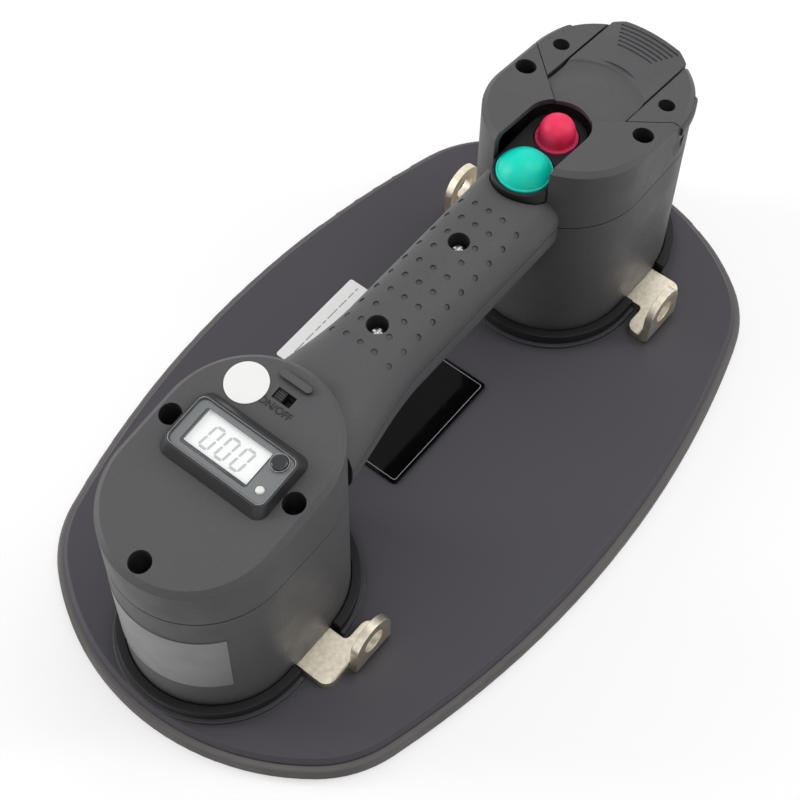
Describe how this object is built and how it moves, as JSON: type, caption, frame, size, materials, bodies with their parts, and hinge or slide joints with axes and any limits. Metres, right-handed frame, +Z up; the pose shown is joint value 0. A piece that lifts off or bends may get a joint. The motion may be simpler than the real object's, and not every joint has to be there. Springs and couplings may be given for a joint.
{
  "type": "battery vacuum lifter for floor tiles",
  "caption": "Battery vacuum lifter for floor tiles: oval suction base, two towers joined by a grip, display, start and release buttons, slide-out battery pack and side lifting eyes.",
  "frame": {"origin": "middle of the oval footprint on the floor", "axes": "+X along the grip towards the battery tower, +Y to the side that carries the paper label, +Z up"},
  "size_m": [0.304, 0.184, 0.1117],
  "materials": {
    "housing": "fine textured charcoal",
    "base": "satin dark grey coat",
    "seal": "soft black rubber",
    "steel": "warm nickel plate",
    "screw": "zinc plated",
    "pod": "satin charcoal",
    "lens": "smoky clear window",
    "lcd": "pale display",
    "lamp": "diffuse lens",
    "board": "green circuit board",
    "switch": "black moulding",
    "slider": "ridged grey",
    "deck": "charcoal",
    "green": "teal green",
    "red": "crimson",
    "tube": "milky silicone",
    "white": "off-white moulding",
    "cell": "wrapped cell",
    "brass": "plain",
    "paper": "matt label",
    "foil": "grey foil label",
    "plate_black": "domed black",
    "foam": "open foam"
  },
  "bodies": {
    "lifter": {"seal_ring": "seal", "base_plate": "base", "lower_shell": "housing", "upper_shell": "housing", "grip_screws": "screw", "tower_screws": "screw", "base_screws": "screw", "bracket_front_left": "steel", "bracket_front_right": "steel", "bracket_rear_left": "steel", "bracket_rear_right": "steel", "bracket_screws": "screw", "display_pod": "pod", "display_lens": "lens", "lcd_panel": "lcd", "unit_switch": "switch", "status_lamp": "lamp", "display_board": "board", "display_screws": "screw", "power_switch": "switch", "round_sticker": "paper", "button_deck": "deck", "start_spring": "screw", "release_spring": "screw", "start_switch": "switch", "release_valve": "white", "release_tube": "tube", "release_port": "brass", "battery_socket": "switch", "battery_contacts": "brass", "vacuum_pump": "white", "pump_motor": "steel", "pump_cradle": "switch", "suction_port": "brass", "suction_tube": "tube", "inlet_filter": "foam", "control_board": "board", "wiring_loom": "switch", "name_plate": "plate_black", "info_label": "paper", "rating_label": "foil"},
    "start_button": {"start_button": "green"},
    "release_button": {"release_button": "red", "release_valve_pin": "brass"},
    "unit_button": {"unit_button": "slider"},
    "power_slider": {"power_slider": "slider"},
    "battery": {"battery_case": "switch", "battery_cap": "housing", "battery_cells": "cell", "battery_board": "board", "cap_screws": "screw", "latch_pin": "screw", "latch_spring": "screw"},
    "battery_latch": {"battery_latch": "housing"}
  },
  "joints": [
    {"name": "start_press", "type": "slide", "parent": "lifter", "child": "start_button", "axis": [0, 0, -1], "range_m": [0, 0.0025], "stiffness_N_per_m": 600, "springref_m": -0.002, "deforming": ["start_spring"]},
    {"name": "release_press", "type": "slide", "parent": "lifter", "child": "release_button", "axis": [0, 0, -1], "range_m": [0, 0.003], "stiffness_N_per_m": 600, "springref_m": -0.002, "deforming": ["release_spring"]},
    {"name": "unit_press", "type": "slide", "parent": "lifter", "child": "unit_button", "axis": [0.1374, 0, -0.9905], "range_m": [0, 0.0005], "stiffness_N_per_m": 1500, "springref_m": -0.0003},
    {"name": "power_slide", "type": "slide", "parent": "lifter", "child": "power_slider", "axis": [0, -1, 0], "range_m": [0, 0.0034]},
    {"name": "battery_slide", "type": "slide", "parent": "lifter", "child": "battery", "axis": [0, 0, 1], "range_m": [0, 0.075]},
    {"name": "latch_tilt", "type": "hinge", "parent": "battery", "child": "battery_latch", "pos_m": [0.1006, 0, 0.09885], "axis": [0, 1, 0], "range_deg": [0, 4], "stiffness_Nm_per_rad": 0.3, "springref_deg": -2.86, "deforming": ["latch_spring"]}
  ]
}
